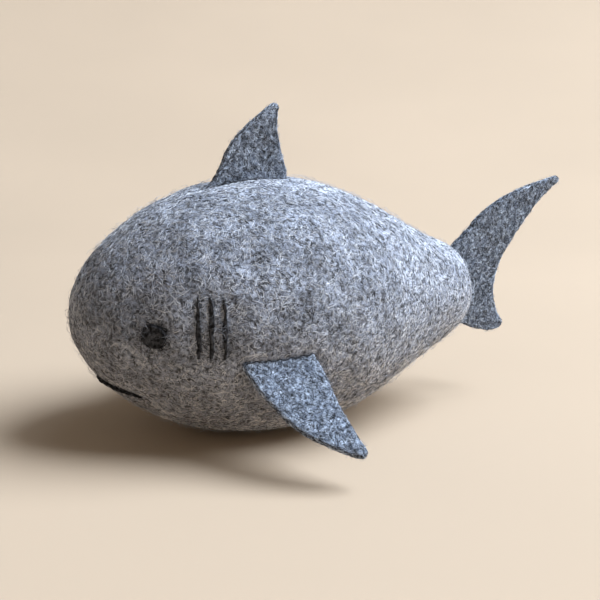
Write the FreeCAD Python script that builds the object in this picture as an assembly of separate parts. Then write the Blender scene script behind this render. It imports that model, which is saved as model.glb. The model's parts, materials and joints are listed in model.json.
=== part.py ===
# Plush shark: a stuffed, seamless wool-felt body with four fins cut from felt sheet, and eyes, gill
# strands and a mouth of black wool felted into the skin.
#
# Millimetres. +Z is up, -Y is the nose and +X is the shark's left side, and X = 0 is the plane of
# symmetry. The origin is the middle of the flat patch that the belly rests on.
import FreeCAD, Part
import math
import os

V = FreeCAD.Vector

# ---- body -------------------------------------------------------------------------------------
BODY_LENGTH = 200.0        # tip of the snout to the end of the tail stump
NOSE_Y = -90.0             # the widest girth is then at Y = 0, above the rest patch
GIRTH_RADIUS = 57.2        # half of the body's largest diameter
BELLY_PRESSED = 1.5        # depth of belly that the shark's own weight presses flat
SKIN = 3.5                 # thickness of the felted skin over the stuffing
AXIS_Z = GIRTH_RADIUS - BELLY_PRESSED
TAIL_END_Y = NOSE_Y + BODY_LENGTH

# Control poles of the body's outline, snout to tail stump, as (share of the length, share of the girth
# radius). The first two and the last two are square to the axis, so both ends are smoothly round.
BODY_POLES = (
    (0.0, 0.0), (0.0, 0.315), (0.155, 0.770), (0.262, 0.918), (0.438, 1.040),
    (0.640, 0.927), (0.830, 0.551), (0.882, 0.490), (1.0, 0.324), (1.0, 0.0))

# ---- felt sheet fins --------------------------------------------------------------------------
FELT = 3.0                 # thickness of the felt sheet
FLEX_GAP = 0.3             # clearance across the line where a fin bends
FLEX_RADIUS = FELT / 2     # the bending edge of a blade is rounded about its hinge axis
BIG = 400.0                # longer than any fin, for cutting tools
CROSSING_STEP = 0.005      # how closely the place where a line leaves the skin is found

# Each fin is drawn flat: x runs along its root and y away from the body, with y = 0 at the skin. It
# bends along the straight line y = FLEX, its hinge. Below that is the root that is let into the body.
# The dorsal fin's origin is the top of the back over Y = 0, with x towards the tail.
DORSAL_FLEX = 4.5
DORSAL_LEADING = ((-32.0, -5.5), (-24.6, 2.0), (-18.4, 14.6), (-8.9, 24.7), (1.4, 32.5))
DORSAL_TIP = (3.5, 32.8)
DORSAL_TRAILING = ((4.6, 31.0), (4.1, 21.4), (6.3, 12.4), (9.2, 2.0), (9.6, -0.6))
DORSAL_ROOT = ((8.0, -11.0), (-22.0, -11.0))

# The tail fin's origin is the middle of the tail stump's end, with x upwards.
TAIL_FLEX = 4.5
TAIL_LEADING = ((18.5, -11.5), (22.0, -6.4), (33.0, 5.3), (42.4, 18.5), (49.6, 36.5), (53.8, 53.0))
TAIL_TIP = (53.7, 55.9)
TAIL_TRAILING = ((51.4, 55.4), (41.6, 44.1), (25.2, 30.3), (8.5, 21.2), (-5.5, 19.8), (-18.6, 25.7))
TAIL_LOBE = (-21.8, 25.5)
TAIL_LOWER = ((-23.4, 23.0), (-23.6, 17.3), (-19.8, 3.2), (-15.5, -9.0))
TAIL_ROOT = ((-12.0, -12.0), (14.0, -12.0))

# The left pectoral fin's origin is the front end of its root, with x towards the rear end.
PECTORAL_FRONT = V(50.6, -33.2, 43.0)    # front end of the left pectoral's root on the skin
PECTORAL_REAR = V(56.1, -3.4, 44.9)      # rear end of the same root
PECTORAL_DROOP = 40.0                    # degrees below level at rest
PECTORAL_FLEX = 6.5
PECTORAL_LEADING = ((-0.8, -1.5), (1.6, 7.0), (7.0, 19.2), (15.2, 32.6), (25.6, 42.0), (36.4, 48.2))
PECTORAL_TIP = (39.4, 48.2)
PECTORAL_TRAILING = ((40.2, 45.8), (37.0, 35.2), (34.3, 23.0), (33.0, 11.6), (30.4, -0.5))
PECTORAL_ROOT = ((26.5, -9.0), (3.5, -9.0))

# ---- thread that sews the fins on -------------------------------------------------------------
THREAD_RADIUS = 0.3
STITCH_RADIUS = 3.4        # a stitch is a bow of thread along the seam, sunk in the skin at both ends
STITCH_ARC = 88.0          # degrees of bow
STITCH_RISE = 0.05         # height of the bow's middle over the skin
STITCH_ASIDE = FELT / 2 + 0.2            # from the sheet's middle plane, pressed a little into the felt
STITCH_PITCH = 4.8
DORSAL_STITCHED = (-26.0, 8.0)           # the stretch of the dorsal root that is sewn, along its x
PECTORAL_STITCHED = (1.0, 29.5)
TAIL_STITCH_ANGLES = (-52.0, -34.0, -16.0, 2.0, 20.0, 38.0, 56.0)
TAIL_STITCH_CENTRE = -15.0               # the tail's stitches fan out round this y
UNDER_SKIN = -12.0                       # y of a flat point that is well inside the body

# ---- black wool felted into the skin ----------------------------------------------------------
INLAY_PROUD = 0.5
INLAY_SUNK = 1.5
EYE_RADIUS = 5.3
EYE_Y = -66.5
EYE_GIRTH = 36.5           # about the body's radius at the eye
EYE_BELOW_AXIS_ANGLE = 1.5  # degrees
PUNCH = 8.0                # half the length of the punch that cuts an eye out
GILL_YS = (-51.0, -46.2, -41.0)
GILL_WIDTH = 1.7
GILL_BOTTOM_Z = AXIS_Z - 9.5
GILL_TOP_Z = AXIS_Z + 15.5
MOUTH_MIDDLE = (0.0, -28.3)              # the mouth as seen from the front, from the body's axis
MOUTH_SIDE = (13.0, -29.2)
MOUTH_CORNER = (20.6, -32.0)
MOUTH_HEIGHT = 1.3
FRONT_FACING_Y = -50.0                   # the mouth is wholly in front of this


def body_outline(offset):
    """The outline from the snout to the tail stump in the YZ plane, grown outwards by offset."""
    poles = [V(0, NOSE_Y + along * BODY_LENGTH, girth * GIRTH_RADIUS) for along, girth in BODY_POLES]
    outline = Part.BSplineCurve()
    outline.buildFromPoles(poles)
    knots = []
    for knot, times in zip(outline.getKnots(), outline.getMultiplicities()):
        knots += [knot] * times
    degree = outline.Degree
    grown = []
    for i, pole in enumerate(poles):
        above_pole = sum(knots[i + 1:i + 1 + degree]) / degree
        tangent = outline.tangent(above_pole)[0]
        grown.append(pole + V(0, -tangent.z, tangent.y) * offset)
    grown[1].y = grown[0].y
    grown[-2].y = grown[-1].y
    outline.buildFromPoles(grown)
    return outline


def body_solid(offset):
    """The round body, grown outwards by offset, on its axis at height AXIS_Z."""
    outline = body_outline(offset)
    axis_line = Part.LineSegment(outline.EndPoint, outline.StartPoint)
    half_section = Part.Face(Part.Wire([outline.toShape(), axis_line.toShape()]))
    solid = half_section.revolve(V(0, 0, 0), V(0, 1, 0), 360)
    solid.translate(V(0, 0, AXIS_Z))
    return solid


def spline(points):
    curve = Part.BSplineCurve()
    curve.interpolate([V(x, y, 0) for x, y in points])
    return curve.toShape()


def round_tip(start, middle, end):
    return Part.Arc(V(*start, 0), V(*middle, 0), V(*end, 0)).toShape()


def straight_edges(points):
    return [Part.LineSegment(V(*a, 0), V(*b, 0)).toShape() for a, b in zip(points, points[1:])]


def flat_prism(edges):
    """A tall prism on a closed flat outline, to either side of the sheet's middle plane."""
    face = Part.Face(Part.Wire(Part.__sortEdges__(edges)))
    face.translate(V(0, 0, -FELT))
    return face.extrude(V(0, 0, 2 * FELT))


def blade_slab(flex):
    """A sheet-thick slab over y > flex whose near edge is a half round about the hinge line."""
    half = FLEX_RADIUS
    far = flex + BIG
    side = -BIG / 2
    corners = (V(side, flex, half), V(side, far, half), V(side, far, -half), V(side, flex, -half))
    edges = [Part.LineSegment(a, b).toShape() for a, b in zip(corners, corners[1:])]
    edges.append(Part.Arc(corners[3], V(side, flex - half, 0), corners[0]).toShape())
    return Part.Face(Part.Wire(edges)).extrude(V(BIG, 0, 0))


def root_slab(flex):
    """A sheet-thick slab over y < flex that stops short of the blade's half round."""
    near_edge = flex - FLEX_RADIUS - FLEX_GAP
    return Part.makeBox(BIG, BIG, FELT, V(-BIG / 2, near_edge - BIG, -FELT / 2))


def sheet_fin(edges, flex, place):
    """Blade and root of a fin cut from one sheet, split at its bending line and put in place."""
    prism = flat_prism(edges)
    pieces = []
    for slab in (blade_slab(flex), root_slab(flex)):
        piece = prism.common(slab).Solids[0]
        piece.Placement = place
        pieces.append(piece)
    return pieces


def placement(origin, x_axis, y_axis):
    z_axis = x_axis.cross(y_axis)
    matrix = FreeCAD.Matrix(
        x_axis.x, y_axis.x, z_axis.x, origin.x,
        x_axis.y, y_axis.y, z_axis.y, origin.y,
        x_axis.z, y_axis.z, z_axis.z, origin.z,
        0, 0, 0, 1)
    return FreeCAD.Placement(matrix)


def dorsal_place():
    return placement(V(0, 0, AXIS_Z + GIRTH_RADIUS), V(0, 1, 0), V(0, 0, 1))


def tail_place():
    return placement(V(0, TAIL_END_Y, AXIS_Z), V(0, 0, 1), V(0, 1, 0))


def pectoral_place():
    """x along the left pectoral's root towards the tail, y out and down along the drooping fin."""
    along = (PECTORAL_REAR - PECTORAL_FRONT).normalize()
    level_out = along.cross(V(0, 0, 1)).normalize()
    down = along.cross(level_out)
    if down.z > 0:
        down = down * -1
    droop = math.radians(PECTORAL_DROOP)
    outward = level_out * math.cos(droop) + down * math.sin(droop)
    return placement(PECTORAL_FRONT, along, outward)


def dorsal_edges():
    leading = spline(DORSAL_LEADING)
    tip = round_tip(DORSAL_LEADING[-1], DORSAL_TIP, DORSAL_TRAILING[0])
    trailing = spline(DORSAL_TRAILING)
    root = straight_edges((DORSAL_TRAILING[-1],) + DORSAL_ROOT + (DORSAL_LEADING[0],))
    return [leading, tip, trailing] + root


def tail_edges():
    leading = spline(TAIL_LEADING)
    tip = round_tip(TAIL_LEADING[-1], TAIL_TIP, TAIL_TRAILING[0])
    trailing = spline(TAIL_TRAILING)
    lobe = round_tip(TAIL_TRAILING[-1], TAIL_LOBE, TAIL_LOWER[0])
    lower = spline(TAIL_LOWER)
    root = straight_edges((TAIL_LOWER[-1],) + TAIL_ROOT + (TAIL_LEADING[0],))
    return [leading, tip, trailing, lobe, lower] + root


def pectoral_edges():
    leading = spline(PECTORAL_LEADING)
    tip = round_tip(PECTORAL_LEADING[-1], PECTORAL_TIP, PECTORAL_TRAILING[0])
    trailing = spline(PECTORAL_TRAILING)
    root = straight_edges((PECTORAL_TRAILING[-1],) + PECTORAL_ROOT + (PECTORAL_LEADING[0],))
    return [leading, tip, trailing] + root


def skin_crossing(body, place, start, direction):
    """How far from start, a flat point inside the body, the skin lies along a flat direction."""
    inside = 0.0
    outside = BODY_LENGTH
    while outside - inside > CROSSING_STEP:
        middle = (inside + outside) / 2
        if body.isInside(place.multVec(start + direction * middle), CROSSING_STEP, True):
            inside = middle
        else:
            outside = middle
    return inside


def stitch(body, place, start, direction):
    """One bow of thread that lies along the seam and dips into the skin at both ends."""
    crossing = start + direction * skin_crossing(body, place, start, direction)
    centre = crossing + direction * (STITCH_RISE - STITCH_RADIUS)
    along = direction.cross(V(0, 0, 1))
    top = centre + direction * STITCH_RADIUS
    profile = Part.Face(Part.Wire(Part.Circle(top, along, THREAD_RADIUS).toShape()))
    profile.rotate(centre, V(0, 0, 1), -STITCH_ARC / 2)
    thread = profile.revolve(centre, V(0, 0, 1), STITCH_ARC)
    thread.Placement = place
    return thread


def stitches_on_both_faces(body, place, starts, directions):
    """Stitches that leave flat points in these directions, on either face of the sheet."""
    threads = []
    for aside in (STITCH_ASIDE, -STITCH_ASIDE):
        for start, direction in zip(starts, directions):
            threads.append(stitch(body, place, start + V(0, 0, aside), direction))
    return Part.makeCompound(threads)


def row_of_stitches(body, place, first_x, last_x):
    """Stitches at an even pitch along a straight root between two places on it."""
    count = int((last_x - first_x) / STITCH_PITCH) + 1
    margin = ((last_x - first_x) - (count - 1) * STITCH_PITCH) / 2
    starts = [V(first_x + margin + i * STITCH_PITCH, UNDER_SKIN, 0) for i in range(count)]
    return stitches_on_both_faces(body, place, starts, [V(0, 1, 0)] * count)


def fan_of_stitches(body, place, angles):
    """Stitches round the tail stump, where the root follows its curved end."""
    turns = [math.radians(angle) for angle in angles]
    starts = [V(0, TAIL_STITCH_CENTRE, 0)] * len(turns)
    return stitches_on_both_faces(body, place, starts, [V(math.sin(t), math.cos(t), 0) for t in turns])


def inlay(prism, grown, sunk):
    """What a straight prism takes out of the skin, from its sunk surface to its proud one."""
    return prism.common(grown).cut(sunk).Solids[0]


def eye_prism():
    """A round punch through the left cheek, square to the skin."""
    outline = body_outline(0)
    cheek = outline.value(outline.parameter(V(0, EYE_Y, EYE_GIRTH)))
    tangent = outline.tangent(outline.parameter(cheek))[0]
    around = math.radians(EYE_BELOW_AXIS_ANGLE)
    aside = V(math.cos(around), 0, -math.sin(around))
    square_to_skin = aside * tangent.y + V(0, -tangent.z, 0)
    centre = aside * cheek.z + V(0, cheek.y, AXIS_Z)
    return Part.makeCylinder(EYE_RADIUS, 2 * PUNCH, centre - square_to_skin * PUNCH, square_to_skin)


def gill_prism(y):
    """A slot with round ends, punched along X, its length upright."""
    radius = GILL_WIDTH / 2
    low = GILL_BOTTOM_Z + radius
    high = GILL_TOP_Z - radius
    left = Part.LineSegment(V(0, y - radius, low), V(0, y - radius, high)).toShape()
    top = Part.Arc(V(0, y - radius, high), V(0, y, GILL_TOP_Z), V(0, y + radius, high)).toShape()
    right = Part.LineSegment(V(0, y + radius, high), V(0, y + radius, low)).toShape()
    bottom = Part.Arc(V(0, y + radius, low), V(0, y, GILL_BOTTOM_Z), V(0, y - radius, low)).toShape()
    return Part.Face(Part.Wire([left, top, right, bottom])).extrude(V(BIG, 0, 0))


def mouth_prism():
    """A band punched along Y from the front, widest in the middle and pointed at both corners."""
    def curve(height):
        half = [MOUTH_CORNER, (MOUTH_SIDE[0], MOUTH_SIDE[1] + height), (0, MOUTH_MIDDLE[1] + height)]
        whole = half + [(-x, z) for x, z in reversed(half[:2])]
        line = Part.BSplineCurve()
        line.interpolate([V(x, NOSE_Y - SKIN, AXIS_Z + z) for x, z in whole])
        return line.toShape()
    face = Part.Face(Part.Wire([curve(MOUTH_HEIGHT / 2), curve(-MOUTH_HEIGHT / 2)]))
    return face.extrude(V(0, FRONT_FACING_Y - NOSE_Y, 0))


def mirrored(shape):
    return shape.mirror(V(0, 0, 0), V(1, 0, 0))


def make_inlays():
    """Eyes, gill strands and mouth, by node name."""
    grown = body_solid(INLAY_PROUD)
    sunk = body_solid(-INLAY_SUNK)
    nodes = {"left_eye": inlay(eye_prism(), grown, sunk)}
    for number, y in enumerate(GILL_YS, 1):
        nodes["left_gill_%d" % number] = inlay(gill_prism(y), grown, sunk)
    for name in list(nodes):
        nodes[name.replace("left", "right")] = mirrored(nodes[name])
    nodes["mouth_line"] = inlay(mouth_prism(), grown, sunk)
    return nodes


def make_fins(body):
    """Fin blades, fin roots and their stitches, by node name."""
    nodes = {}
    nodes["dorsal_fin"], nodes["dorsal_fin_root"] = sheet_fin(dorsal_edges(), DORSAL_FLEX, dorsal_place())
    nodes["tail_fin"], nodes["tail_fin_root"] = sheet_fin(tail_edges(), TAIL_FLEX, tail_place())
    blade, root = sheet_fin(pectoral_edges(), PECTORAL_FLEX, pectoral_place())
    nodes["left_pectoral_fin"] = blade
    nodes["left_pectoral_root"] = root
    first, last = DORSAL_STITCHED
    nodes["dorsal_stitches"] = row_of_stitches(body, dorsal_place(), first, last)
    nodes["tail_stitches"] = fan_of_stitches(body, tail_place(), TAIL_STITCH_ANGLES)
    first, last = PECTORAL_STITCHED
    nodes["left_pectoral_stitches"] = row_of_stitches(body, pectoral_place(), first, last)
    for name in ("left_pectoral_fin", "left_pectoral_root", "left_pectoral_stitches"):
        nodes[name.replace("left", "right")] = mirrored(nodes[name])
    return nodes


def make_body(outer, roots, inlays):
    """The felted skin and the stuffing inside it, slit for the fin roots."""
    inner = body_solid(-SKIN)
    above_rest = Part.makeBox(BIG, BIG, BIG, V(-BIG / 2, -BIG / 2, 0))
    skin = outer.common(above_rest).cut(inner).cut(roots + inlays)
    stuffing = inner.cut(roots)
    return {"body_shell": skin.Solids[0], "stuffing_core": stuffing.Solids[0]}


def main():
    outer = body_solid(0)
    inlays = make_inlays()
    fins = make_fins(outer)
    roots = [shape for name, shape in fins.items() if name.endswith("_root")]
    nodes = make_body(outer, roots, list(inlays.values()))
    nodes.update(fins)
    nodes.update(inlays)
    os.makedirs("parts", exist_ok=True)
    for name, shape in nodes.items():
        shape.exportStep(os.path.join("parts", name + ".step"))
        box = shape.BoundBox
        print("%-24s %3d solid %10.1f mm3  x %6.1f %6.1f  y %6.1f %6.1f  z %6.1f %6.1f  valid %s" % (
            name, len(shape.Solids), shape.Volume, box.XMin, box.XMax, box.YMin, box.YMax,
            box.ZMin, box.ZMax, shape.isValid()))


main()
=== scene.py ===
import json
import math

import bpy
import numpy as np
from mathutils import Matrix, Vector, noise
from mathutils.bvhtree import BVHTree


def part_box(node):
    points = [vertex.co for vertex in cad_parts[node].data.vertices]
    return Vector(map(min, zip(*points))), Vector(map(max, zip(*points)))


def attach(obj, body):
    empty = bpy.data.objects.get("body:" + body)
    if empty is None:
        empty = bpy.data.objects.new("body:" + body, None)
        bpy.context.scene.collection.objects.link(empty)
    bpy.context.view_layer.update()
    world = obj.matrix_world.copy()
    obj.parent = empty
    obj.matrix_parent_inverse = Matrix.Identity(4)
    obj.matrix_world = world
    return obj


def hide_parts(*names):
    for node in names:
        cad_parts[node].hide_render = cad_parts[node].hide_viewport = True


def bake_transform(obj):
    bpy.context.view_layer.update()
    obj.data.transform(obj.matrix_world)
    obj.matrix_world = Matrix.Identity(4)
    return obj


# Plush shark. Metres in the row frame: +Z is up, -Y is the nose and +X is the shark's left side.
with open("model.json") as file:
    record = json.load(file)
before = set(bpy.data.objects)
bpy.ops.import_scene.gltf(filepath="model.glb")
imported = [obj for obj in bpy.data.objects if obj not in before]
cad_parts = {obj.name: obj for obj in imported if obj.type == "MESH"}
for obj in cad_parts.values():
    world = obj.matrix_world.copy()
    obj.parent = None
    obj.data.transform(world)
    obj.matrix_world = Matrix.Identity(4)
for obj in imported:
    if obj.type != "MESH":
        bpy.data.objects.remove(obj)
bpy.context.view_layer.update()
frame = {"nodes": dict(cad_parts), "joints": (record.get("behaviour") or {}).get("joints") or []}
MM = 0.001
SEED = 7

# ---- camera --------------------------------------------------------------------------------------
CAMERA_PLACE = Vector((448.3, -218.7, 170.9)) * MM
CAMERA_AIM = Vector((0.0, 18.8, 55.7)) * MM
CAMERA_ROLL = math.radians(1.9)
FIELD_OF_VIEW = math.radians(30.0)

# ---- stage ---------------------------------------------------------------------------------------
FLOOR_RADIUS = 3.6
FLAT_RADIUS = 0.5                            # the floor is flat out to here, then rises as a bowl
FLOOR_RISE = 0.26                            # height is this times the square of the distance past there
FLOOR_RINGS = 60
FLOOR_STEPS = 96
FLOOR_PATCH = 1 / 3.0                        # size of its faint patches, in metres

# name, place, diameter in metres, watts, colour; all of them face the middle of the body
LIGHTS = (
    ("window", (0.74, 2.0, 2.7), 2.8, 325.0, (0.76, 0.86, 1.0)),
    ("skylight", (0.25, 0.9, 2.2), 2.0, 18.0, (0.68, 0.82, 1.0)),
    ("room", (0.9, -0.9, 1.3), 1.2, 0.1, (1.0, 0.97, 0.94)))
SKY_COLOUR = (1.0, 0.97, 0.93, 1.0)
SKY_STRENGTH = 0.16

# ---- body ----------------------------------------------------------------------------------------
SKIN_LOW, SKIN_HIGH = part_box("body_shell")
GIRTH = SKIN_HIGH.x                          # half of the body's largest diameter
AXIS_Z = SKIN_HIGH.z - GIRTH
OUTLINE_STEPS = 90                           # rings of the revolved skin, snout to tail stump
GIRTH_STEPS = 96
STUFFING_VOXEL = 2.5 * MM
CLEAR_ANGLE = math.radians(60.0)             # round the body here, nothing is let into the skin
SKIN_VOXEL = 3.6 * MM
STARTS_SMALLER = 0.9 * MM
PRESSURE = 200.0
INFLATE_FRAMES = 20
PATCH_MASS = 0.0005                          # kg at each point of the simulated skin
STRETCH_STIFFNESS = 0.3
MOST_SWELLING = 1.4 * MM
HELD_WITHIN = 3.5 * MM                       # skin this near a seam or an inlay doesn't swell
FULLY_FREE = 10.0 * MM                       # and this much further off it swells fully
SEAM_DEPTH = 0.5 * MM                        # how far a seam or an inlay pulls the skin in beside it
SEAM_WIDTH = 2.2 * MM
LUMPS_FREE = 6 * MM                          # the large lumps fade away within this distance of a seam
# layers of lumps, as height and size in mm
LARGE_LUMPS = ((0.55, 17.0), (0.25, 6.0))
FINE_LUMPS = ((0.12, 2.2),)
STUFFING_LUMPS = ((1.0, 14.0), (0.5, 5.0))
STUFFING_INSET = 1.5 * MM                    # keeps the stuffing's lumps inside the CAD's core

# ---- felt sheet fins: piece, CAD blade, CAD root, moving body, joint -----------------------------
FINS = (
    ("dorsal_felt", "dorsal_fin", "dorsal_fin_root", "dorsal_blade", "dorsal_sway"),
    ("tail_felt", "tail_fin", "tail_fin_root", "tail_blade", "tail_wag"),
    ("left_pectoral_felt", "left_pectoral_fin", "left_pectoral_root", "left_pectoral_blade",
     "left_pectoral_flap"),
    ("right_pectoral_felt", "right_pectoral_fin", "right_pectoral_root", "right_pectoral_blade",
     "right_pectoral_flap"))
FIN_VOXEL = 0.75 * MM
JOIN_OVERLAP = 1.2 * MM                      # closes the CAD's gap between a blade and its root
FIN_LUMPS = ((0.16, 1.6), (0.2, 5.0))        # height and size in mm, as for the skin
FIN_WAVE = ((0.5, 22.0),)                    # the same for the wave of the whole sheet
WAVE_FULL = 15 * MM                          # the wave has its full height this far from the hinge line
CUT_EDGE = "shaded_cut_edge"                        # the attribute that is 1 on a fin's cut edge and 0 on its faces, where the fin felt paints shade

# ---- black wool let into the skin ----------------------------------------------------------------
EYES = ("left_eye", "right_eye")
GILLS = tuple("%s_gill_%d" % (side, number) for side in ("left", "right") for number in (1, 2, 3))
MOUTH = "mouth_line"
WOOL_VOXEL = 0.45 * MM
WOOL_PROUD = 0.5 * MM                        # the inlays stand this far over the skin
DOME = 0.2 * MM
MOUTH_DOME = 3 * DOME
EYE_DRAWN_IN = 0.9                           # the visible mat's share of the CAD disc
MOUTH_WAVE = 0.7 * MM
MAT_LUMPS = (0.3 * MM, 2.5 * MM)             # height and size
INLAY_HAIR = (2.2 * MM, 0.10 * MM, 0.25 * MM)    # length, radius and lift
# count, curl and direction, where they all run one way
EYE_HAIRS = (330, 1.0, None)
GILL_HAIRS = (110, 0.35, np.array([0.0, 0.0, 1.0]))
MOUTH_HAIRS = (200, 0.35, np.array([1.0, 0.0, 0.0]))

# ---- wool fibres ---------------------------------------------------------------------------------
FIBRE_RINGS = 4
RING_SIDES = 3
STRAYING = 0.15                              # how far fibres that run one way stray from it
# a fibre's length by its kind's: the shortest, what the longest adds, and how few are long
SHORTEST, LONGER, FEW_LONG = 0.45, 1.4, 1.6
SUNK = 1.2                                   # how deep a lying fibre's ends are, in radii
NOISE_SLOPE = 1.5                            # of a noise texture across one of its units, about

# shade, count, length and radius in mm, lowest and highest colour
SKIN_FIBRES = (
    ("pale", 8500, 3.5, 0.11, (0.24, 0.26, 0.305), (0.44, 0.48, 0.57)),
    ("bluish", 8500, 3.5, 0.11, (0.28, 0.315, 0.40), (0.54, 0.60, 0.74)),
    ("white", 9800, 4.2, 0.12, (0.80, 0.85, 0.94), (0.95, 0.97, 1.0)),
    ("bright", 9800, 4.8, 0.10, (0.80, 0.85, 0.94), (0.95, 0.97, 1.0)),
    ("fine", 7500, 3.0, 0.09, (0.50, 0.56, 0.66), (0.80, 0.86, 0.96)),
    ("grey", 7500, 3.5, 0.13, (0.05, 0.053, 0.062), (0.12, 0.126, 0.145)),
    ("dark", 9800, 3.6, 0.16, (0.003, 0.003, 0.004), (0.010, 0.010, 0.011)))
# shade, fibres per square mm, length and radius in mm, lowest and highest colour
FIN_FIBRES = (
    ("pale", 1.2, 3.8, 0.15, (0.155, 0.195, 0.275), (0.70, 0.80, 0.94)),
    ("dark", 1.2, 3.6, 0.17, (0.004, 0.0045, 0.006), (0.018, 0.02, 0.025)))

# stray fibres: count, or count per square mm, length and radius in mm, and greatest height by length
SKIN_FUZZ = (9000, 5.0, 0.05, 0.4)
FIN_FUZZ = (0.6, 2.6, 0.06, 0.5)
FUZZ_LEAST = 0.06                            # least height by length
FUZZ_CURL = 0.9
FUZZ_ARCH = 0.62                             # half turns of a sine that a stray fibre rises and falls by
FIN_LIFT = 0.08 * MM
# how far the skin's fibres keep off these pieces, and the share of the others that stays
OFF_EYES = (0.2 * MM, 0.03)
OFF_STRANDS = (0.0, 0.16)
OFF_FINS = (0.6 * MM, 0.0)

joints = {joint["name"]: joint for joint in frame["joints"]}


# ---- meshes --------------------------------------------------------------------------------------
def new_object(name, verts, faces):
    mesh = bpy.data.meshes.new(name)
    mesh.from_pydata([tuple(v) for v in verts], [], faces)
    mesh.update()
    made = bpy.data.objects.new(name, mesh)
    bpy.context.scene.collection.objects.link(made)
    return made


def points(obj):
    co = np.empty(len(obj.data.vertices) * 3, np.float32)
    obj.data.vertices.foreach_get("co", co)
    return co.reshape(-1, 3).astype(float)


def normals(obj):
    found = np.empty(len(obj.data.vertices) * 3, np.float32)
    obj.data.vertex_normals.foreach_get("vector", found)
    return found.reshape(-1, 3).astype(float)


def move_points(obj, co):
    obj.data.vertices.foreach_set("co", co.astype(np.float32).ravel())
    obj.data.update()


def settle(obj):
    """Makes what obj's modifiers give its own mesh."""
    graph = bpy.context.evaluated_depsgraph_get()
    made = bpy.data.meshes.new_from_object(obj.evaluated_get(graph))
    obj.modifiers.clear()
    obj.data = made


def remesh(obj, voxel):
    modifier = obj.modifiers.new("Remesh", "REMESH")
    modifier.mode = "VOXEL"
    modifier.voxel_size = voxel
    settle(obj)


def smooth(obj, times, factor=0.5):
    modifier = obj.modifiers.new("Smooth", "SMOOTH")
    modifier.factor = factor
    modifier.iterations = times
    settle(obj)


def subdivide(obj, levels):
    modifier = obj.modifiers.new("Subdivide", "SUBSURF")
    modifier.levels = levels
    modifier.render_levels = levels
    settle(obj)


def shade_smooth(obj):
    obj.data.shade_smooth()


def merged(objs):
    """The vertices and faces of these objects, as two lists."""
    verts, faces = [], []
    for obj in objs:
        base = len(verts)
        verts += [v.co[:] for v in obj.data.vertices]
        faces += [[base + i for i in p.vertices] for p in obj.data.polygons]
    return verts, faces


def joined(name, *objs):
    """One new object with copies of these objects' meshes."""
    return new_object(name, *merged(objs))


def tree_of(*objs):
    """A search tree over the surfaces of these objects."""
    return BVHTree.FromPolygons(*merged(objs))


def distances(tree, co):
    """How far each point is from the tree's surfaces."""
    return np.array([tree.find_nearest(Vector(p))[3] for p in co])


def lumps(co, size, seed):
    """Smooth noise from -1 to 1 at each point, in lumps of about this size."""
    shift = Vector((seed * 13.1, seed * 7.7, seed * 3.3))
    return np.array([noise.noise(Vector(p) / size + shift) for p in co])


def layered(co, layers, seed):
    """The sum of several layers of lumps, each given by its height and size in mm."""
    return sum(height * MM * lumps(co, size * MM, seed + i) for i, (height, size) in enumerate(layers))


# ---- camera, stage and light ---------------------------------------------------------------------
def make_camera():
    data = bpy.data.cameras.new("camera")
    data.sensor_width = 36.0
    data.angle = FIELD_OF_VIEW
    data.clip_start = 0.01
    data.clip_end = 20.0
    camera = bpy.data.objects.new("camera", data)
    bpy.context.scene.collection.objects.link(camera)
    look = (CAMERA_AIM - CAMERA_PLACE).to_track_quat("-Z", "Y").to_matrix()
    camera.matrix_world = (Matrix.Translation(CAMERA_PLACE)
                           @ (look @ Matrix.Rotation(CAMERA_ROLL, 3, "Z")).to_4x4())
    bpy.context.scene.camera = camera


def make_stage():
    """A round floor that curves up into a wide bowl, so that no view shows an edge."""
    verts = [(0.0, 0.0, 0.0)]
    for ring in range(1, FLOOR_RINGS + 1):
        radius = FLOOR_RADIUS * ring / FLOOR_RINGS
        height = max(radius - FLAT_RADIUS, 0.0) ** 2 * FLOOR_RISE
        for i in range(FLOOR_STEPS):
            turned = 2 * math.pi * i / FLOOR_STEPS
            verts.append((radius * math.cos(turned), radius * math.sin(turned), height))
    faces = [[0, 1 + i, 1 + (i + 1) % FLOOR_STEPS] for i in range(FLOOR_STEPS)]
    for ring in range(FLOOR_RINGS - 1):
        low = 1 + ring * FLOOR_STEPS
        for i in range(FLOOR_STEPS):
            j = (i + 1) % FLOOR_STEPS
            faces.append([low + i, low + FLOOR_STEPS + i, low + FLOOR_STEPS + j, low + j])
    floor = new_object("floor", verts, faces)
    shade_smooth(floor)
    floor.data.materials.append(floor_material())


def make_light(name, place, size, watts, colour):
    """A round area light."""
    data = bpy.data.lights.new(name, "AREA")
    data.shape = "DISK"
    data.size = size
    data.energy = watts
    data.color = colour
    light = bpy.data.objects.new(name, data)
    bpy.context.scene.collection.objects.link(light)
    aim = Vector((0.0, 0.0, AXIS_Z)) - Vector(place)
    light.matrix_world = Matrix.Translation(Vector(place)) @ aim.to_track_quat("-Z", "Y").to_matrix().to_4x4()


def make_lights():
    for light in LIGHTS:
        make_light(*light)
    world = bpy.data.worlds.new("soft")
    world.use_nodes = True
    sky = world.node_tree.nodes["Background"]
    sky.inputs["Color"].default_value = SKY_COLOUR
    sky.inputs["Strength"].default_value = SKY_STRENGTH
    bpy.context.scene.world = world
    bpy.context.scene.view_settings.view_transform = "Standard"


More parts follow.
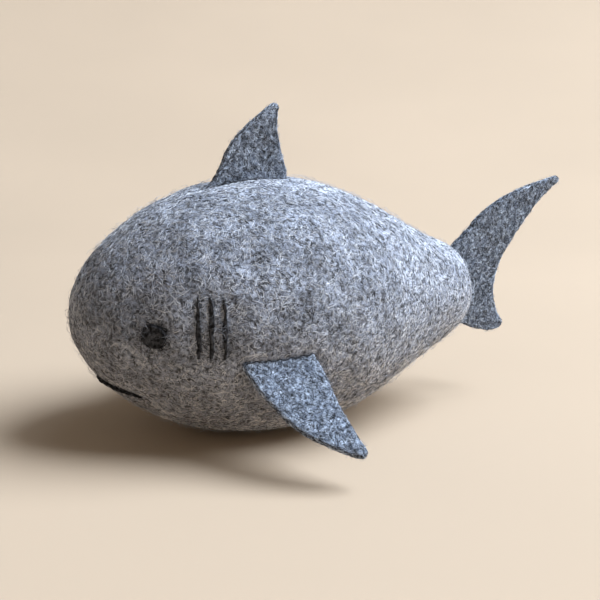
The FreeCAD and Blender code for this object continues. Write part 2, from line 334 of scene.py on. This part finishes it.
# ---- materials -----------------------------------------------------------------------------------
class Nodes:
    """A short way to write a material's node tree."""

    def __init__(self, name):
        self.material = bpy.data.materials.new(name)
        self.material.use_nodes = True
        self.tree = self.material.node_tree
        self.shader = self.tree.nodes["Principled BSDF"]

    def add(self, kind, **settings):
        node = self.tree.nodes.new(kind)
        for key, value in settings.items():
            if key in node.inputs:
                node.inputs[key].default_value = value
            else:
                setattr(node, key, value)
        return node

    def link(self, source, target):
        self.tree.links.new(source, target)

    def place(self, unit_size, turn=(0.0, 0.0, 0.0)):
        """Object coordinates in units of this size, turned first."""
        where = self.add("ShaderNodeTexCoord").outputs["Object"]
        turned = self.add("ShaderNodeVectorRotate", rotation_type="EULER_XYZ", Rotation=turn)
        self.link(where, turned.inputs["Vector"])
        scaled = self.add("ShaderNodeVectorMath", operation="MULTIPLY")
        scaled.inputs[1].default_value = (1 / unit_size,) * 3
        self.link(turned.outputs["Vector"], scaled.inputs[0])
        return scaled.outputs["Vector"]

    def noise(self, size, turn=(0.0, 0.0, 0.0), detail=2.0, distortion=0.0):
        """Smooth noise from 0 to 1, in lumps of about this size."""
        texture = self.add("ShaderNodeTexNoise", Scale=1.0, Detail=detail, Distortion=distortion)
        self.link(self.place(size, turn), texture.inputs["Vector"])
        return texture.outputs["Fac"]

    def ramp(self, value, stops):
        """Colours along a value, from stops of (position, colour)."""
        node = self.add("ShaderNodeValToRGB")
        elements = node.color_ramp.elements
        while len(elements) < len(stops):
            elements.new(0.5)
        for element, (position, colour) in zip(elements, stops):
            element.position = position
            element.color = (*colour, 1.0)
        self.link(value, node.inputs["Fac"])
        return node.outputs["Color"]

    def maths(self, operation, *values):
        node = self.add("ShaderNodeMath", operation=operation)
        for socket, value in zip(node.inputs, values):
            if isinstance(value, float):
                socket.default_value = value
            else:
                self.link(value, socket)
        return node.outputs[0]

    def mix(self, share, a, b, blend="MIX"):
        node = self.add("ShaderNodeMix", data_type="RGBA", blend_type=blend)
        if isinstance(share, float):
            node.inputs[0].default_value = share
        else:
            self.link(share, node.inputs[0])
        self.link(a, node.inputs[6])
        self.link(b, node.inputs[7])
        return node.outputs[2]

    def bump(self, height, distance, strength=1.0):
        node = self.add("ShaderNodeBump", Distance=distance, Strength=strength)
        self.link(height, node.inputs["Height"])
        self.link(node.outputs["Normal"], self.shader.inputs["Normal"])

    def finish(self, colour, roughness, sheen=0.0, shine=0.2):
        self.link(colour, self.shader.inputs["Base Color"])
        if isinstance(roughness, float):
            self.shader.inputs["Roughness"].default_value = roughness
        else:
            self.link(roughness, self.shader.inputs["Roughness"])
        self.shader.inputs["Sheen Weight"].default_value = sheen
        self.shader.inputs["Specular IOR Level"].default_value = shine
        return self.material


PATCH_SIZE = 14 * MM
# the painted snout shade fades out over this length back from the tip; the painted floor light below uses the
# same unit for height
SNOUT_LENGTH = 75 * MM
HAIR_TURNS = ((0.0, 0.0, 0.0), (0.9, 0.4, 0.3), (0.2, 1.1, 0.8), (1.2, 0.2, 1.5), (0.6, 0.7, 2.3))


def matted_hairs(nodes, curl, width):
    """Thin curling lines, 1 along each hair and 0 between, where any of several noises crosses 0.5."""
    found = None
    for turn in HAIR_TURNS:
        wander = nodes.noise(curl, turn, detail=1.0, distortion=0.7)
        off = nodes.maths("ABSOLUTE", nodes.maths("SUBTRACT", wander, 0.5))
        line = nodes.maths("MULTIPLY_ADD", off, -curl / width * NOISE_SLOPE, 1.0)
        found = line if found is None else nodes.maths("MAXIMUM", found, line)
    return nodes.maths("MAXIMUM", found, 0.0)


def skin_patches_and_painted_light(nodes, colour):
    """Shades a colour: painted shade over the snout, painted shade and warm floor light below, and soft
    patches of lighter and darker wool all over the skin.
    """
    patches = nodes.noise(PATCH_SIZE, detail=3.0)
    patch = nodes.ramp(patches, ((0.36, (0.66, 0.66, 0.665)), (0.60, (1.0, 1.0, 1.0))))
    colour = nodes.mix(1.0, colour, patch, "MULTIPLY")
    along = nodes.add("ShaderNodeSeparateXYZ")
    nodes.link(nodes.place(SNOUT_LENGTH), along.inputs[0])
    from_tip = nodes.maths("SUBTRACT", along.outputs["Y"], SKIN_LOW.y / SNOUT_LENGTH)
    # painted shade: the snout and cheeks are darkened towards the tip, where less light falls on them
    painted_snout_shade = nodes.ramp(from_tip, ((0.15, (0.76, 0.75, 0.75)), (0.95, (1.0, 1.0, 1.0))))
    colour = nodes.mix(1.0, colour, painted_snout_shade, "MULTIPLY")
    # painted shade and painted warm reflection of the floor: the lower body is darker and browner towards the
    # bottom
    painted_floor_light = nodes.ramp(along.outputs["Z"], ((0.2, (0.96, 0.87, 0.78)), (0.85, (1.0, 1.0, 1.0))))
    return nodes.mix(1.0, colour, painted_floor_light, "MULTIPLY")


def wool_material(name, dark, middle, light, curl=1.9 * MM, width=0.30 * MM, sheen=0.2, shine=0.2,
                  shaded_cut_edge=False, skin=False):
    """Matted wool: light curling hairs over a darker ground, in soft patches of lighter and darker wool."""
    nodes = Nodes(name)
    hairs = matted_hairs(nodes, curl, width)
    flecks = nodes.noise(0.7 * MM, detail=2.0)
    drift = nodes.noise(1.8 * MM, detail=2.0)
    ground = nodes.ramp(flecks, ((0.35, dark), (0.68, middle)))
    hair = nodes.ramp(drift, ((0.35, middle), (0.62, light)))
    colour = nodes.mix(hairs, ground, hair)
    # on the skin: soft patches, painted shade over the snout and painted warm floor light below
    if skin:
        colour = skin_patches_and_painted_light(nodes, colour)
    # painted shade: the fins' cut edges are darkened to about a sixth, as if in shadow
    if shaded_cut_edge:
        edge = nodes.add("ShaderNodeAttribute", attribute_name=CUT_EDGE)
        shade = nodes.ramp(edge.outputs["Fac"], ((0.12, (1.0, 1.0, 1.0)), (0.5, (0.16, 0.16, 0.18))))
        colour = nodes.mix(1.0, colour, shade, "MULTIPLY")
    nodes.bump(hairs, 0.3 * MM)
    return nodes.finish(colour, nodes.maths("MULTIPLY_ADD", hairs, -0.15, 0.95), sheen, shine)


def hair_material(name, low, high, skin=False):
    """Single hairs, whose shade drifts along and between them."""
    nodes = Nodes(name)
    drift = nodes.noise(2 * MM, detail=3.0)
    colour = nodes.ramp(drift, ((0.35, low), (0.65, high)))
    # on the skin: soft patches, painted shade over the snout and painted warm floor light below
    if skin:
        colour = skin_patches_and_painted_light(nodes, colour)
    return nodes.finish(colour, 0.75, sheen=0.1, shine=0.3)


def thread_material():
    """Dark twisted sewing thread."""
    nodes = Nodes("dark_thread")
    twist = nodes.noise(0.25 * MM, detail=2.0)
    colour = nodes.ramp(twist, ((0.35, (0.006, 0.007, 0.01)), (0.7, (0.04, 0.045, 0.055))))
    nodes.bump(twist, 0.1 * MM)
    return nodes.finish(colour, 0.7, 0.15)


def floor_material():
    """Plain pale warm floor with a very faint unevenness."""
    nodes = Nodes("pale_floor")
    shade = nodes.noise(FLOOR_PATCH)
    colour = nodes.ramp(shade, ((0.3, (0.42, 0.327, 0.237)), (0.7, (0.44, 0.342, 0.248))))
    return nodes.finish(colour, 0.65)


# ---- skin ----------------------------------------------------------------------------------------
def skin_radius(tree, y):
    """How far the CAD skin is from its axis at this y, read where nothing is let into it."""
    aside = Vector((math.cos(CLEAR_ANGLE), 0.0, math.sin(CLEAR_ANGLE)))
    axis = Vector((0.0, y, AXIS_Z))
    far = 2 * GIRTH
    hit = tree.ray_cast(axis + aside * far, -aside)[0]
    return (hit - axis).length if hit else 0.0


def revolved_skin():
    """The body's plain round surface, with nothing let into it."""
    tree = tree_of(frame["nodes"]["body_shell"])
    middle = (SKIN_LOW.y + SKIN_HIGH.y) / 2
    half = (SKIN_HIGH.y - SKIN_LOW.y) / 2
    verts = [(0.0, SKIN_LOW.y, AXIS_Z)]
    for i in range(1, OUTLINE_STEPS):
        y = middle - half * math.cos(math.pi * i / OUTLINE_STEPS)
        radius = skin_radius(tree, y)
        for j in range(GIRTH_STEPS):
            turned = 2 * math.pi * j / GIRTH_STEPS
            verts.append((radius * math.cos(turned), y, AXIS_Z + radius * math.sin(turned)))
    verts.append((0.0, SKIN_HIGH.y, AXIS_Z))
    last = len(verts) - 1
    faces = []
    for j in range(GIRTH_STEPS):
        k = (j + 1) % GIRTH_STEPS
        faces.append([0, 1 + j, 1 + k])
        faces.append([last, last - GIRTH_STEPS + k, last - GIRTH_STEPS + j])
        for i in range(OUTLINE_STEPS - 2):
            low = 1 + i * GIRTH_STEPS
            faces.append([low + j, low + GIRTH_STEPS + j, low + GIRTH_STEPS + k, low + k])
    return new_object("felt_skin", verts, faces)


def inflate(obj, seams):
    """Blows obj up a little with a cloth simulation, held at its seams, and keeps the result."""
    held = obj.vertex_groups.new(name="held")
    before = points(obj)
    still = (distances(seams, before) < HELD_WITHIN) | (before[:, 2] < HELD_WITHIN)
    held.add(np.flatnonzero(still).tolist(), 1.0, "ADD")
    cloth = obj.modifiers.new("Inflate", "CLOTH")
    cloth.settings.vertex_group_mass = "held"
    cloth.settings.mass = PATCH_MASS
    cloth.settings.tension_stiffness = STRETCH_STIFFNESS
    cloth.settings.compression_stiffness = STRETCH_STIFFNESS
    cloth.settings.shear_stiffness = STRETCH_STIFFNESS
    cloth.settings.use_pressure = True
    cloth.settings.uniform_pressure_force = PRESSURE
    cloth.settings.effector_weights.gravity = 0.0
    scene = bpy.context.scene
    for number in range(1, INFLATE_FRAMES + 1):
        scene.frame_set(number)
    settle(obj)
    scene.frame_set(1)
    moved = points(obj) - before
    far = np.linalg.norm(moved, axis=1)
    share = np.minimum(1.0, MOST_SWELLING / np.maximum(far, 1e-9))
    move_points(obj, before + moved * share[:, None])
    obj.vertex_groups.clear()


def make_skin(seams):
    """The stuffed felt skin: swollen between its seams, slightly lumpy and pressed flat below."""
    skin = revolved_skin()
    remesh(skin, SKIN_VOXEL)
    co = points(skin)
    free = np.clip((distances(seams, co) - HELD_WITHIN) / FULLY_FREE, 0.0, 1.0)
    move_points(skin, co - normals(skin) * (STARTS_SMALLER * free)[:, None])
    inflate(skin, seams)
    smooth(skin, 3)
    subdivide(skin, 2)
    co = points(skin)
    near = distances(seams, co)
    large = layered(co, LARGE_LUMPS, 1) * np.clip(near / LUMPS_FREE, 0.0, 1.0)
    rise = large + layered(co, FINE_LUMPS, 3)
    rise -= SEAM_DEPTH * np.exp(-(near / SEAM_WIDTH) ** 2)
    co += normals(skin) * rise[:, None]
    co[:, 2] = np.maximum(co[:, 2], 0.0)
    move_points(skin, co)
    shade_smooth(skin)
    return skin


def make_stuffing():
    """Loose wool that fills the skin: the CAD's core, made lumpy."""
    wool = joined("loose_wool", frame["nodes"]["stuffing_core"])
    remesh(wool, STUFFING_VOXEL)
    co = points(wool)
    rise = layered(co, STUFFING_LUMPS, 90) - STUFFING_INSET
    move_points(wool, co + normals(wool) * rise[:, None])
    shade_smooth(wool)
    return wool


# ---- fins ----------------------------------------------------------------------------------------
def hinge(joint):
    """A point on the hinge and the axis along it."""
    return Vector(joints[joint]["pos_m"]), Vector(joints[joint]["axis"]).normalized()


def fin_directions(blade, joint):
    """Outwards from the hinge along the sheet, and square to the sheet."""
    place, axis = hinge(joint)
    co = np.array([v.co for v in frame["nodes"][blade].data.vertices])
    centre = Vector(co.mean(0)) - place
    outward = (centre - axis * centre.dot(axis)).normalized()
    return outward, axis.cross(outward).normalized()


def make_fin(name, blade, root, joint, seed):
    """One felt sheet from the CAD's blade and root, with a soft cut edge and a slight wave."""
    place, axis = hinge(joint)
    outward, across = fin_directions(blade, joint)
    fin = joined(name, frame["nodes"][blade], frame["nodes"][root])
    co = points(fin)
    along = (co - np.array(place)) @ np.array(outward)
    count = len(frame["nodes"][blade].data.vertices)
    top_of_root = along[count:] > along[count:].max() - 0.1 * MM
    co[count:][top_of_root] += np.array(outward) * JOIN_OVERLAP
    move_points(fin, co)
    remesh(fin, FIN_VOXEL)
    smooth(fin, 4, 0.4)
    co = points(fin)
    along = (co - np.array(place)) @ np.array(outward)
    wave = layered(co, FIN_WAVE, seed) * np.clip(along / WAVE_FULL, 0.0, 1.0)
    co += np.array(across) * wave[:, None]
    # marks the cut edge, which the fin felt darkens as painted shade
    edge = fin.data.attributes.new(CUT_EDGE, "FLOAT", "POINT")
    edge.data.foreach_set("value", (1 - np.abs(normals(fin) @ np.array(across))).astype(np.float32))
    co += normals(fin) * layered(co, FIN_LUMPS, seed + 1)[:, None]
    move_points(fin, co)
    shade_smooth(fin)
    return fin


def flat_cut(fin, axis, outward, across):
    """The flat size and area of the sheet a fin is cut from: its extent in its own plane and one face."""
    co = points(fin)
    flat = tuple(float(np.ptp(co @ np.array(way))) for way in (axis, outward))
    fin.data.calc_loop_triangles()
    total = sum(triangle.area * abs(triangle.normal.dot(across)) for triangle in fin.data.loop_triangles)
    return flat, total / 2


# ---- black wool ----------------------------------------------------------------------------------
def over_skin(ground, co):
    """Each point's place on the skin, the skin's normal there and the point's height over it."""
    on, out = ground.nearest(co)
    return on, out, np.einsum("ij,ij->i", co - on, out)


def drawn_in(co, share):
    """Pulls a round mat in towards its middle."""
    middle = co.mean(0)
    return middle + (co - middle) * np.array([1.0, share, share])


def wavy(co, axis, aside, size, seed):
    """Lets a strand along one axis wander up and down along another."""
    line = np.zeros((len(co), 3))
    line[:, axis] = co[:, axis]
    co[:, aside] += size * lumps(line, 6 * MM, seed)
    return co


def thin_the_ends(co, axis, across, seed):
    """Narrows a straight strand towards its ends and lets its width wander."""
    low, high = co[:, axis].min(), co[:, axis].max()
    share = (co[:, axis] - low) / (high - low)
    width = 0.35 + 0.5 * np.sin(math.pi * share)
    line = np.zeros((len(co), 3))
    line[:, axis] = co[:, axis]
    width *= 1.0 + 0.6 * lumps(line, 6 * MM, seed)
    middle = co[:, across].mean()
    co[:, across] = middle + (co[:, across] - middle) * width + 0.6 * MM * lumps(line, 9 * MM, seed + 1)
    return co


def make_wool(node, ground, seed):
    """A felted inlay of black wool: an uneven domed mat with fibres that stray over its edge."""
    mat = joined(node + "_mat", frame["nodes"][node])
    remesh(mat, WOOL_VOXEL)
    smooth(mat, 3)
    co = points(mat)
    rng = np.random.default_rng([SEED, seed])
    dome = DOME
    if node in GILLS:
        co = thin_the_ends(co, 2, 1, seed)
        count, curl, along = GILL_HAIRS
    elif node == MOUTH:
        co = wavy(co, 0, 2, MOUTH_WAVE, seed)
        count, curl, along = MOUTH_HAIRS
        dome = MOUTH_DOME
    else:
        co = drawn_in(co, EYE_DRAWN_IN)
        count, curl, along = EYE_HAIRS
    _, out, height = over_skin(ground, co)
    lump_height, lump_size = MAT_LUMPS
    co += lump_height * np.stack([lumps(co, lump_size, seed + i) for i in range(3)], 1)
    co += out * (dome * (height > 0))[:, None]
    move_points(mat, co)
    top = Ground(mat).scatter(count * 4, rng)
    top = top[over_skin(ground, top)[2] > WOOL_PROUD / 2][:count]
    length, radius, lift = INLAY_HAIR
    hairs = lying_fibres(node + "_hairs", ground, top, length, radius, rng, lift=lift, curl=curl,
                         along=along, above=WOOL_PROUD)
    wool = joined(node + "_wool", mat, hairs)
    bpy.data.objects.remove(mat)
    bpy.data.objects.remove(hairs)
    shade_smooth(wool)
    return wool


# ---- fibres --------------------------------------------------------------------------------------
class Ground:
    """A surface that fibres lie on."""

    def __init__(self, obj):
        mesh = obj.data
        mesh.calc_loop_triangles()
        self.co = points(obj)
        triangles = np.empty(len(mesh.loop_triangles) * 3, np.int32)
        mesh.loop_triangles.foreach_get("vertices", triangles)
        self.triangles = triangles.reshape(-1, 3)
        a, b, c = (self.co[self.triangles[:, i]] for i in range(3))
        area = np.linalg.norm(np.cross(b - a, c - a), axis=1) / 2
        self.area = area.sum()
        self.share = area / self.area
        self.tree = tree_of(obj)

    def scatter(self, count, rng):
        """Random points on the surface, even over its area."""
        chosen = self.triangles[rng.choice(len(self.triangles), count, p=self.share)]
        u, v = rng.random(count), rng.random(count)
        over = u + v > 1
        u[over], v[over] = 1 - u[over], 1 - v[over]
        a, b, c = (self.co[chosen[:, i]] for i in range(3))
        return a + (b - a) * u[:, None] + (c - a) * v[:, None]

    def nearest(self, co):
        """The surface's nearest point to each of these, and its normal there."""
        found = [self.tree.find_nearest(Vector(p)) for p in co]
        return np.array([f[0] for f in found]), np.array([f[1] for f in found])


def unit(vectors):
    return vectors / np.maximum(np.linalg.norm(vectors, axis=-1, keepdims=True), 1e-12)


def fibre_lines(ground, starts, length, curl, rng, along=None):
    """Curved lines on the ground round these places: each fibre's ring centres and the normals there."""
    count = len(starts)
    on, out = ground.nearest(starts)
    way = rng.normal(size=(count, 3)) if along is None else along + STRAYING * rng.normal(size=(count, 3))
    way = unit(way - out * np.einsum("ij,ij->i", way, out)[:, None])
    side = np.cross(out, way)
    size = (SHORTEST + LONGER * rng.random(count) ** FEW_LONG) * length
    bend = rng.normal(size=count) * curl
    twist = rng.normal(size=count) * curl
    centres = []
    for s in np.linspace(-0.5, 0.5, FIBRE_RINGS):
        forward = way * (size * s)[:, None]
        aside = side * (size * (2 * bend * s ** 2 + 4 * twist * s ** 3))[:, None]
        centres.append(on + forward + aside)
    centres = np.stack(centres, 1)
    on, out = ground.nearest(centres.reshape(-1, 3))
    return on.reshape(centres.shape), out.reshape(centres.shape)


def fibre_mesh(name, centres, out, radius):
    """Thin closed tubes with tapered ends, one along each line of ring centres."""
    count, rings = centres.shape[:2]
    way = unit(np.gradient(centres, axis=1))
    side = unit(np.cross(out, way))
    up = np.cross(way, side)
    taper = np.array([0.35] + [1.0] * (rings - 2) + [0.35])
    verts = np.empty((count, rings, RING_SIDES, 3))
    for k in range(RING_SIDES):
        turned = math.pi / 2 + 2 * math.pi * k / RING_SIDES
        offset = up * math.sin(turned) + side * math.cos(turned)
        verts[:, :, k] = centres + offset * (radius[:, None] * taper)[:, :, None]
    pattern = []
    for i in range(rings - 1):
        for k in range(RING_SIDES):
            j = (k + 1) % RING_SIDES
            low = i * RING_SIDES
            pattern.append([low + k, low + j, low + RING_SIDES + j, low + RING_SIDES + k])
    sides = np.array(pattern)
    caps = np.array([[2, 1, 0], [(rings - 1) * RING_SIDES + k for k in range(RING_SIDES)]])
    base = (np.arange(count) * rings * RING_SIDES)[:, None, None]
    faces = (base + sides).reshape(-1, 4).tolist() + (base + caps).reshape(-1, 3).tolist()
    made = new_object(name, verts.reshape(-1, 3).tolist(), faces)
    shade_smooth(made)
    return made


def lying_fibres(name, ground, starts, length, radius, rng, lift=0.12 * MM, curl=0.5, keep=None,
                 along=None, above=0.0):
    """Fibres matted into the surface: each dips under it, or under a layer above it, at both ends."""
    centres, out = fibre_lines(ground, starts, length, curl, rng, along)
    arch = np.cos(np.linspace(-0.5, 0.5, FIBRE_RINGS) * math.pi)
    proud = rng.uniform(0.3, 1.0, len(centres)) * lift
    sunk = SUNK * radius
    rise = above + arch[None, :] * (proud[:, None] + sunk) - sunk
    return kept_fibres(name, centres + out * rise[:, :, None], out, radius, rng, keep)


def standing_fibres(name, ground, starts, length, radius, rng, most, keep=None):
    """Stray fibres that leave the surface at a slant and curl over, the highest by this share of length."""
    centres, out = fibre_lines(ground, starts, length, FUZZ_CURL, rng)
    steps = np.linspace(0.0, 1.0, FIBRE_RINGS)
    height = (FUZZ_LEAST + most * rng.random(len(centres)) ** 3) * length
    rise = height[:, None] * np.sin(steps * math.pi * FUZZ_ARCH)[None, :] - radius
    return kept_fibres(name, centres + out * rise[:, :, None], out, radius, rng, keep)


def kept_fibres(name, centres, out, radius, rng, keep):
    """The mesh of those fibres that stay over the floor and that keep allows."""
    kept = centres[:, :, 2].min(1) > 2 * radius
    if keep is not None:
        kept &= keep(centres, rng)
    sizes = rng.uniform(0.65, 1.25, kept.sum()) * radius
    return fibre_mesh(name, centres[kept], out[kept], sizes)


def clear_of(tree, gap, allowed):
    """Keeps the fibres that stay this far from the pieces in the tree, and a share of the others."""
    def keep(centres, rng):
        flat = centres.reshape(-1, 3)
        near = distances(tree, flat).reshape(centres.shape[:2]).min(1)
        return (near > gap) | (rng.random(len(centres)) < allowed)
    return keep


def dress(obj, material):
    obj.data.materials.clear()
    obj.data.materials.append(material)


# ---- the shark -----------------------------------------------------------------------------------
def cad(*names):
    return [frame["nodes"][name] for name in names]


def place_padded(obj, material, node):
    """A stuffed piece that stands for a CAD node and belongs to the body."""
    dress(obj, material)
    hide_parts(node)
    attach(obj, "torso")


def make_inlays(ground, material):
    for number, node in enumerate((*EYES, *GILLS, MOUTH)):
        wool = make_wool(node, ground, 60 + 4 * number)
        dress(wool, material)
        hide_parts(node)
        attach(wool, "torso")


def make_skin_fibres(ground, keep):
    """Fibres of each shade matted into the skin, and stray ones that stand off it."""
    for number, (shade, count, length, radius, low, high) in enumerate(SKIN_FIBRES):
        rng = np.random.default_rng([SEED, 100 + number])
        fibres = lying_fibres("skin_fibres_" + shade, ground, ground.scatter(count, rng), length * MM,
                              radius * MM, rng, keep=keep)
        dress(fibres, hair_material("hair_" + shade, low, high, skin=True))
        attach(fibres, "torso")
    count, length, radius, most = SKIN_FUZZ
    rng = np.random.default_rng([SEED, 120])
    fuzz = standing_fibres("skin_fuzz", ground, ground.scatter(count, rng), length * MM, radius * MM, rng,
                           most, keep)
    dress(fuzz, hair_material("hair_fuzz", (0.20, 0.21, 0.235), (0.50, 0.53, 0.59)))
    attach(fuzz, "torso")


def make_fin_fibres(fin, name, hairs, fuzz_hair, number):
    """The fibres on one fin, as a list of pieces."""
    ground = Ground(fin)
    square_mm = ground.area / MM ** 2
    pieces = []
    for kind, (shade, density, length, radius, _, _) in enumerate(FIN_FIBRES):
        rng = np.random.default_rng([SEED, 200 + 10 * number + kind])
        starts = ground.scatter(int(square_mm * density), rng)
        fibres = lying_fibres("%s_fibres_%s" % (name, shade), ground, starts, length * MM, radius * MM,
                              rng, lift=FIN_LIFT)
        dress(fibres, hairs[shade])
        pieces.append(fibres)
    density, length, radius, most = FIN_FUZZ
    rng = np.random.default_rng([SEED, 205 + 10 * number])
    fuzz = standing_fibres(name + "_fuzz", ground, ground.scatter(int(square_mm * density), rng),
                           length * MM, radius * MM, rng, most)
    dress(fuzz, fuzz_hair)
    return [*pieces, fuzz]


make_camera()
make_lights()
make_stage()

body_felt = wool_material("body_felt", (0.005, 0.005, 0.006), (0.075, 0.08, 0.092), (0.46, 0.51, 0.62),
                          skin=True)
# the fin felt paints shade along the fins' cut edges
fin_felt = wool_material("fin_felt", (0.006, 0.007, 0.009), (0.055, 0.064, 0.08), (0.34, 0.40, 0.50),
                         curl=1.6 * MM, shaded_cut_edge=True)
black_wool = wool_material("black_wool", (0.0015, 0.0015, 0.0015), (0.006, 0.006, 0.0065),
                           (0.07, 0.072, 0.08), width=0.25 * MM, sheen=0.0, shine=0.06)
stuffing = wool_material("stuffing_wool", (0.5, 0.48, 0.44), (0.68, 0.66, 0.6), (0.8, 0.78, 0.74))
thread = thread_material()
fin_hairs = {shade: hair_material("fin_hair_" + shade, low, high)
             for shade, _, _, _, low, high in FIN_FIBRES}
fin_fuzz = hair_material("fin_hair_fuzz", (0.10, 0.125, 0.17), (0.34, 0.40, 0.50))

fins = [make_fin(name, blade, root, joint, seed=20 + 5 * i)
        for i, (name, blade, root, _, joint) in enumerate(FINS)]
skin = make_skin(tree_of(*fins, *cad(*EYES, *GILLS, MOUTH)))
skin_ground = Ground(skin)
place_padded(skin, body_felt, "body_shell")
place_padded(make_stuffing(), stuffing, "stuffing_core")
make_inlays(skin_ground, black_wool)

off_the_eyes = clear_of(tree_of(*cad(*EYES)), *OFF_EYES)
off_the_strands = clear_of(tree_of(*cad(*GILLS, MOUTH)), *OFF_STRANDS)
off_the_fins = clear_of(tree_of(*fins), *OFF_FINS)


def off_the_pieces(centres, rng):
    return off_the_eyes(centres, rng) & off_the_strands(centres, rng) & off_the_fins(centres, rng)


make_skin_fibres(skin_ground, off_the_pieces)

for number, (fin, (name, blade, root, body, joint)) in enumerate(zip(fins, FINS)):
    place, axis = hinge(joint)
    outward, across = fin_directions(blade, joint)
    dress(fin, fin_felt)
    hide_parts(blade, root)
    on_it = make_fin_fibres(fin, name, fin_hairs, fin_fuzz, number)
    for piece in (fin, *on_it):
        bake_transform(piece)
    flat, area = flat_cut(fin, axis, outward, across)

for stitches in cad("dorsal_stitches", "tail_stitches", "left_pectoral_stitches", "right_pectoral_stitches"):
    stitches.data.materials.clear()
    stitches.data.materials.append(thread)
